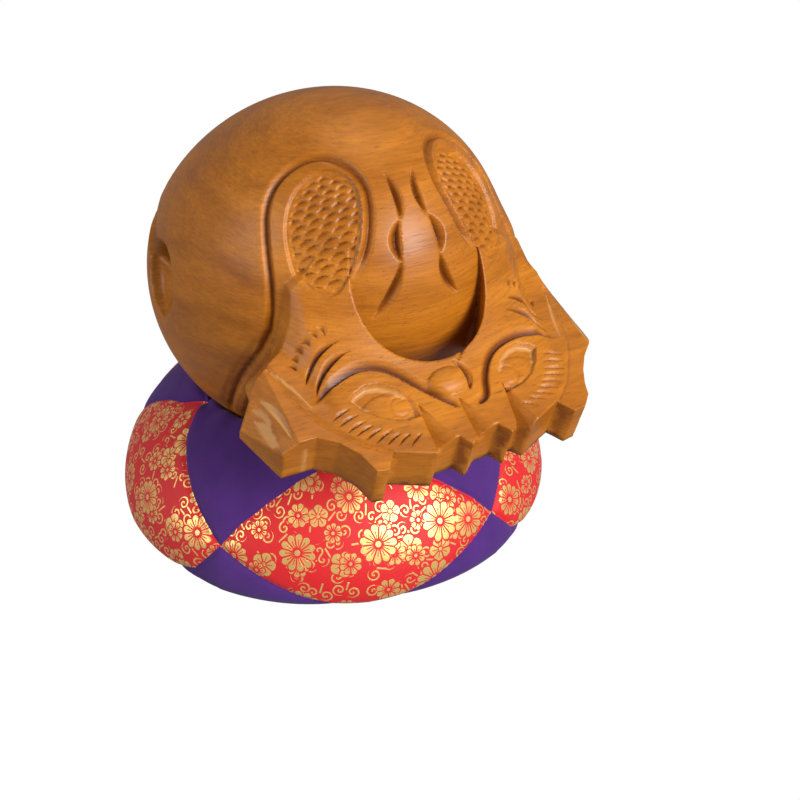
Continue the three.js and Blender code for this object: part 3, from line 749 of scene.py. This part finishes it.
def diamond_distance(turn, up):
    """Distance in millimetres inside a diamond's seam, and its place across the diamond."""
    inside = np.full(turn.shape, -99.0)
    across = np.zeros(turn.shape)
    for i in range(5):
        left, right = side_corners[i], side_corners[i + 1]
        middle, half = (left + right) / 2, (right - left) / 2
        wrapped = (turn - middle + 180) % 360 - 180
        share = 1 - np.abs(wrapped) / half
        here = share > -0.4
        width = math.radians(half) * panel_radius
        pinched = (i == 4) & (wrapped > 0) | (i == 1) & (wrapped < 0)
        top = np.where(pinched, np.interp(share, *heights_to_lengths(pinched_edge)),
                       np.interp(share, *heights_to_lengths(upper_edge)))
        low = np.where(pinched, np.interp(share, *np.array(steep_edge).T),
                       np.interp(share, *np.array(lower_edge).T))
        step = 0.02
        top_next = np.where(pinched, np.interp(share + step, *heights_to_lengths(pinched_edge)),
                            np.interp(share + step, *heights_to_lengths(upper_edge)))
        low_next = np.where(pinched, np.interp(share + step, *np.array(steep_edge).T),
                            np.interp(share + step, *np.array(lower_edge).T))
        above = (top - up) / np.hypot(1, (top_next - top) / (step * width))
        below = (up - low) / np.hypot(1, (low_next - low) / (step * width))
        value = np.where(share > 0, np.minimum(above, below), -np.hypot(share * width, up))
        take = here & (value > inside)
        inside = np.where(take, value, inside)
        place = math.radians(1) * wrapped * panel_radius + 260 * i
        across = np.where(here & (np.abs(wrapped) <= half + 1), place, across)
    return inside, across


def swollen(grid, sewn):
    """Lets the stuffing press the cloth out between the seams, and gives how far each point moved."""
    rows, spokes = sewn.shape
    quads = grid_faces(rows, spokes)
    base = mesh_piece("cushion_before_stuffing", grid.reshape(-1, 3), quads, cover)
    held = base.vertex_groups.new(name="sewn")
    for level in range(1, 11):
        chosen = np.flatnonzero(np.round(sewn.ravel() * 10) == level)
        held.add([int(i) for i in chosen], level / 10, "REPLACE")
    cloth = base.modifiers.new("stuffing", "CLOTH")
    cloth.settings.vertex_group_mass = "sewn"
    cloth.settings.pin_stiffness = 1.0
    cloth.settings.quality = 5
    cloth.settings.mass = 0.3
    cloth.settings.tension_stiffness = 12
    cloth.settings.compression_stiffness = 8
    cloth.settings.bending_stiffness = 0.3
    cloth.settings.use_pressure = True
    cloth.settings.uniform_pressure_force = 4
    cloth.settings.effector_weights.gravity = 0
    for step in range(1, 21):
        bpy.context.scene.frame_set(step)
    settled = base.evaluated_get(bpy.context.evaluated_depsgraph_get()).to_mesh()
    after = np.zeros(len(settled.vertices) * 3)
    settled.vertices.foreach_get("co", after)
    bpy.context.scene.frame_set(1)
    mesh = base.data
    bpy.data.objects.remove(base)
    bpy.data.meshes.remove(mesh)
    return after.reshape(rows, spokes, 3) * 1000 - grid


def grid_faces(rows, spokes):
    row = np.arange(rows - 1)[:, None] * spokes
    col = np.arange(spokes)[None, :]
    beside = (col + 1) % spokes
    quads = np.stack([row + col, row + spokes + col, row + spokes + beside, row + beside], -1)
    quads = quads.reshape(-1, 4)
    return np.vstack([quads[:, [0, 1, 2]], quads[:, [0, 2, 3]]])


def petals(tree, place, pitch, reach, count, seed):
    """Gold threads of one size of flower: rounded petals around an eye, one flower in each cell."""
    moved = add(tree, "VectorMath", place, (seed * 7.3, seed * 3.1, 0), operation="ADD")
    cell = add(tree, "TexVoronoi", moved, Scale=1 / pitch, Randomness=0.55, voronoi_dimensions="2D")
    toward = add(tree, "VectorMath", moved, cell.outputs["Position"], operation="SUBTRACT")
    far = add(tree, "VectorMath", toward, operation="LENGTH").outputs["Value"]
    parts = add(tree, "SeparateXYZ", toward)
    angle = add(tree, "Math", parts.outputs[1], parts.outputs[0], operation="ARCTAN2")
    chance = add(tree, "SeparateColor", cell.outputs["Color"])
    spun = add(tree, "Math", angle, add(tree, "Math", chance, 6.0, operation="MULTIPLY"), operation="ADD")
    half = add(tree, "Math", spun, count / 2, operation="MULTIPLY")
    middle = add(tree, "Math", add(tree, "Math", half, operation="COSINE"), operation="ABSOLUTE")
    between = add(tree, "Math", add(tree, "Math", half, operation="SINE"), operation="ABSOLUTE")
    bulge = add(tree, "Math", middle, 0.45, operation="POWER")
    size = add(tree, "MapRange", chance.outputs[1], i1=0.0, i2=1.0, i3=reach * 0.8, i4=reach * 1.1)
    rounded = add(tree, "MapRange", bulge, i1=0.0, i2=1.0, i3=0.6, i4=1.0)
    tip = add(tree, "Math", size, rounded, operation="MULTIPLY")
    body = add(tree, "Math", far, tip, operation="LESS_THAN")
    from_split = add(tree, "Math", middle, far, operation="MULTIPLY")
    gap = add(tree, "Math", from_split, count * 0.16, operation="GREATER_THAN")
    from_rib = add(tree, "Math", between, far, operation="MULTIPLY")
    rib = add(tree, "Math", from_rib, count * 0.1, operation="GREATER_THAN")
    outer = add(tree, "Math", far, reach * 0.66, operation="GREATER_THAN")
    rib = add(tree, "Math", rib, outer, operation="MAXIMUM")
    eye = add(tree, "Math", far, reach * 0.15, operation="LESS_THAN")
    leaf = add(tree, "Math", add(tree, "Math", gap, rib, operation="MULTIPLY"), body, operation="MULTIPLY")
    ring = add(tree, "Math", far, reach * 0.22, operation="GREATER_THAN")
    gold = add(tree, "Math", add(tree, "Math", leaf, ring, operation="MULTIPLY"), eye, operation="MAXIMUM")
    edge = add(tree, "Math", tip, reach * 0.12, operation="ADD")
    clear = add(tree, "Math", far, edge, operation="GREATER_THAN")
    return gold, clear


def tendrils(tree, place, pitch, seed):
    """Gold threads of the vine scrolls: two curls that meet in a stem, one pair in each cell."""
    moved = add(tree, "VectorMath", place, (seed * 5.7, seed * 9.1, 0), operation="ADD")
    cell = add(tree, "TexVoronoi", moved, Scale=1 / pitch, Randomness=0.6, voronoi_dimensions="2D")
    toward = add(tree, "VectorMath", moved, cell.outputs["Position"], operation="SUBTRACT")
    chance = add(tree, "SeparateColor", cell.outputs["Color"])
    spin = add(tree, "Math", chance, 6.28, operation="MULTIPLY")
    turned = add(tree, "VectorRotate", toward, Angle=spin, rotation_type="Z_AXIS")
    parts = add(tree, "SeparateXYZ", turned)
    side = add(tree, "Math", add(tree, "Math", parts, operation="ABSOLUTE"), 2.7, operation="SUBTRACT")
    height = parts.outputs[1]
    far = add(tree, "Math", add(tree, "Math", add(tree, "Math", side, side, operation="MULTIPLY"),
              add(tree, "Math", height, height, operation="MULTIPLY"), operation="ADD"), operation="SQRT")
    angle = add(tree, "Math", height, side, operation="ARCTAN2")
    share = add(tree, "Math", angle, 1 / (2 * math.pi), operation="MULTIPLY")
    wound = add(tree, "Math", add(tree, "Math", far, 0.5, operation="MULTIPLY"), share, operation="SUBTRACT")
    line = add(tree, "Math", add(tree, "Math", wound, operation="FRACT"), 0.34, operation="LESS_THAN")
    inside = add(tree, "Math", far, 2.75, operation="LESS_THAN")
    curl = add(tree, "Math", line, inside, operation="MULTIPLY")
    middle = add(tree, "Math", add(tree, "Math", parts, operation="ABSOLUTE"), 0.35, operation="LESS_THAN")
    from_stem = add(tree, "Math", add(tree, "Math", height, 3.0, operation="ADD"), operation="ABSOLUTE")
    short = add(tree, "Math", from_stem, 2.4, operation="LESS_THAN")
    stem = add(tree, "Math", middle, short, operation="MULTIPLY")
    return add(tree, "Math", curl, stem, operation="MAXIMUM")


# The cover, joined along its seams: plain matt violet cotton with a weave of 0.5 mm threads, and
# brocade, a red silk ground with flowers and vine scrolls woven in flat gold thread. The silk is
# soft and slightly glossy; the gold flashes like metal and is ribbed every 0.6 mm, with pale
# stripes painted along the ribs as glints.
cover, tree = new_material("violet_cotton_and_gold_brocade")
place = add(tree, "TexCoord").outputs["Object"]
cotton_threads = add(tree, "TexNoise", place, Scale=1800.0, Detail=1.0)
nap = add(tree, "TexNoise", place, Scale=90.0, Detail=3.0)
tone = add(tree, "Mix", data_type="RGBA", i0=nap, i6=linear("#3A1264"), i7=linear("#521F7C"))
cotton = add(tree, "Mix", data_type="RGBA", blend_type="MULTIPLY", i0=0.25, i6=tone.outputs[2],
             i7=cotton_threads)
place = add(tree, "Attribute", attribute_name="cloth_place").outputs["Vector"]
large, clear_large = petals(tree, place, 27.0, 8.0, 11, 1)
small, clear_small = petals(tree, place, 17.0, 4.6, 8, 2)
leaves, clear_leaves = petals(tree, place, 26.0, 5.4, 5, 3)
vines = tendrils(tree, place, 10.5, 4)
small = add(tree, "Math", small, clear_large, operation="MULTIPLY")
free = add(tree, "Math", clear_large, clear_small, operation="MULTIPLY")
leaves = add(tree, "Math", leaves, free, operation="MULTIPLY")
free = add(tree, "Math", free, clear_leaves, operation="MULTIPLY")
vines = add(tree, "Math", vines, free, operation="MULTIPLY")
gold = add(tree, "Math", add(tree, "Math", large, small, operation="MAXIMUM"),
           add(tree, "Math", leaves, vines, operation="MAXIMUM"), operation="MAXIMUM")
ribs = add(tree, "TexWave", place, Scale=0.52, Distortion=1.5, Detail=1.0, Detail_Scale=2.0,
           bands_direction="Y")
threads = add(tree, "TexNoise", place, Scale=2.2, Detail=2.0)
silk = add(tree, "Mix", data_type="RGBA", i0=threads, i6=linear("#AE0610"), i7=linear("#E4161A"))
# Gold thread colour, with pale stripes painted along the ribs as glints.
gold_with_painted_glints = add(tree, "Mix", data_type="RGBA", i0=add(tree, "Math", ribs, threads, operation="MULTIPLY"),
           i6=linear("#EDB450"), i7=linear("#FFEBB4"))
colour = add(tree, "Mix", data_type="RGBA", i0=gold, i6=silk.outputs[2], i7=gold_with_painted_glints.outputs[2])
dull = add(tree, "MapRange", gold, i1=0.0, i2=1.0, i3=0.62, i4=0.34)
metal = add(tree, "Math", gold, 0.62, operation="MULTIPLY")
level = add(tree, "Math", add(tree, "Math", gold, 0.6, operation="MULTIPLY"), threads, operation="ADD")
seam = add(tree, "Attribute", attribute_name="inside_seam")
silk_side = add(tree, "Math", seam.outputs["Fac"], 0.0, operation="GREATER_THAN")
colour = add(tree, "Mix", data_type="RGBA", i0=silk_side, i6=cotton.outputs[2], i7=colour.outputs[2])
metal = add(tree, "Math", metal, silk_side, operation="MULTIPLY")
dull = add(tree, "Mix", i0=silk_side, i2=0.92, i3=dull)
level = add(tree, "Mix", i0=silk_side, i2=cotton_threads, i3=level)
bump = add(tree, "Bump", Strength=0.4, Distance=0.0003, Height=level)
cloth_shader = add(tree, "BsdfPrincipled", colour.outputs[2], Metallic=metal, Roughness=dull,
                   Sheen_Weight=0.06, Sheen_Roughness=0.5, Normal=bump)
add(tree, "OutputMaterial", cloth_shader)

rough, rough_turn, rough_up = padded_grid(rough_spokes, rough_rows)
rough_inside, _ = diamond_distance(rough_turn, rough_up)
sewn = np.maximum(np.exp(-(rough_inside / 3.5) ** 2) * 0.9, smooth((rough_up - 46) / 6))
sewn = np.maximum(sewn, smooth((-30 - rough_up) / 8))
moved = np.zeros(rough.shape)
moved = swollen(rough, sewn)
far = np.linalg.norm(moved, axis=2, keepdims=True)
moved *= np.minimum(1, most_swelling / np.maximum(far, 1e-6))

grid, turn, up = padded_grid(fine_spokes, fine_rows)
rows_at = np.interp(-up[:, 0], -rough_up[:, 0], np.arange(rough_rows))
spokes_at = np.arange(fine_spokes) * rough_spokes / fine_spokes
row_low = np.minimum(rows_at.astype(int), rough_rows - 2)
spoke_low = spokes_at.astype(int)
row_mix = smooth(rows_at - row_low)[:, None, None]
spoke_mix = smooth(spokes_at - spoke_low)[None, :, None]
corner = [[moved[np.ix_(row_low + i, (spoke_low + j) % rough_spokes)] for j in (0, 1)] for i in (0, 1)]
shift = ((corner[0][0] * (1 - spoke_mix) + corner[0][1] * spoke_mix) * (1 - row_mix)
         + (corner[1][0] * (1 - spoke_mix) + corner[1][1] * spoke_mix) * row_mix)
inside, across = diamond_distance(turn, up)
down_line = np.gradient(grid, axis=0)
around = np.roll(grid, -1, 1) - np.roll(grid, 1, 1)
outward = np.cross(down_line, around)
outward /= np.linalg.norm(outward, axis=2, keepdims=True) + 1e-9
outward[:2] = (0, 0, 1)
outward[-2:] = (0, 0, -1)
seam = np.abs(inside)
free = smooth((56 - up) / 10) * smooth((up + 34) / 10)
height = (puff * (1 - np.exp(-seam / puff_reach)) - seam_sink * np.exp(-(seam / 1.1) ** 2)) * free
for i in range(5):
    middle = (side_corners[i] + side_corners[i + 1]) / 2
    dx = np.radians((turn - middle + 180) % 360 - 180) * 66.0
    dy = up - 50.0
    far = np.hypot(dx, dy)
    fold = np.cos(3.5 * np.arctan2(dy, dx) + 0.9 * i) * smooth(far / 4) * np.exp(-(far / 14) ** 2)
    height += (1.3 * fold - 1.8 * np.exp(-(far / 4.5) ** 2)) * smooth((60 - up) / 8)
ripple = np.sin(np.radians(turn) * 23 + 1.5 * np.sin(np.radians(turn) * 5)) * np.exp(-((up - 50) / 7) ** 2)
height += 0.45 * ripple
grid = grid + shift + outward * height[:, :, None]
grid[:, :, 2] = np.maximum(grid[:, :, 2], 0)
top = up > 14
ceiling = drum_underside(grid[:, :, 0][top], grid[:, :, 1][top]) - dish_gap
grid[:, :, 2][top] = np.minimum(grid[:, :, 2][top], ceiling)
grid[0] = grid[0].mean(0)
grid[-1] = grid[-1].mean(0)
cushion = mesh_piece("cushion_sewn", grid.reshape(-1, 3), grid_faces(fine_rows, fine_spokes), cover)
spot = np.stack([across, up, np.zeros(up.shape)], -1).reshape(-1, 3).astype(np.float32)
cushion.data.attributes.new("cloth_place", "FLOAT_VECTOR", "POINT").data.foreach_set("vector", spot.ravel())
cushion.data.attributes.new("inside_seam", "FLOAT", "POINT").data.foreach_set("value", inside.ravel())
cushion.data.shade_smooth()
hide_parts("cushion")
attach(cushion, "root")

# The surround: a white floor that turns up into a white dome, as paper does behind a thing being
# photographed, lit from the front right. Its glow isn't let onto the wood or the cloth.
dome_mesh = bpy.data.meshes.new("floor")
dome = bmesh.new()
bmesh.ops.create_uvsphere(dome, u_segments=48, v_segments=24, radius=4.0)
for corner in dome.verts:
    corner.co.z = max(corner.co.z, 0.0)
bmesh.ops.remove_doubles(dome, verts=dome.verts, dist=0.0001)
dome.to_mesh(dome_mesh)
dome.free()
floor = bpy.data.objects.new("floor", dome_mesh)
bpy.context.scene.collection.objects.link(floor)
floor.visible_diffuse = False
floor.visible_glossy = False
floor.visible_shadow = False
# White paper, lit from behind so that it shows no grain, shade or gloss.
white, tree = new_material("white_paper")
glow = add(tree, "Emission", linear("#FFFFFF"), Strength=1.0)
add(tree, "OutputMaterial", glow)
dome_mesh.materials.append(white)

camera_data = bpy.data.cameras.new("camera")
camera_data.lens = 50
camera_data.sensor_width = 36
camera = bpy.data.objects.new("camera", camera_data)
camera.location = (-0.1731, -0.3942, 0.3334)
view = Vector((0.3897, 0.7361, -0.5534))
camera.rotation_euler = view.to_track_quat("-Z", "Y").to_euler()
bpy.context.scene.collection.objects.link(camera)
bpy.context.scene.camera = camera

world = bpy.data.worlds.new("studio")
world.use_nodes = True
world.node_tree.nodes["Background"].inputs[0].default_value = (1, 1, 1, 1)
world.node_tree.nodes["Background"].inputs[1].default_value = 0.27
bpy.context.scene.world = world
bpy.context.scene.view_settings.view_transform = "Standard"
for name, place, power, size in (("key", (0.3, -0.98, 0.6), 17, 0.45),
                                 ("fill", (-0.9, 0.0, 0.45), 3.8, 0.5), ("top", (0.2, 0.3, 1.2), 2, 0.6)):
    lamp = bpy.data.lights.new(name, "AREA")
    lamp.energy = power
    lamp.size = size
    light = bpy.data.objects.new(name, lamp)
    light.location = place
    light.rotation_euler = (Vector((0, 0, 0.1)) - light.location).to_track_quat("-Z", "Y").to_euler()
    bpy.context.scene.collection.objects.link(light)
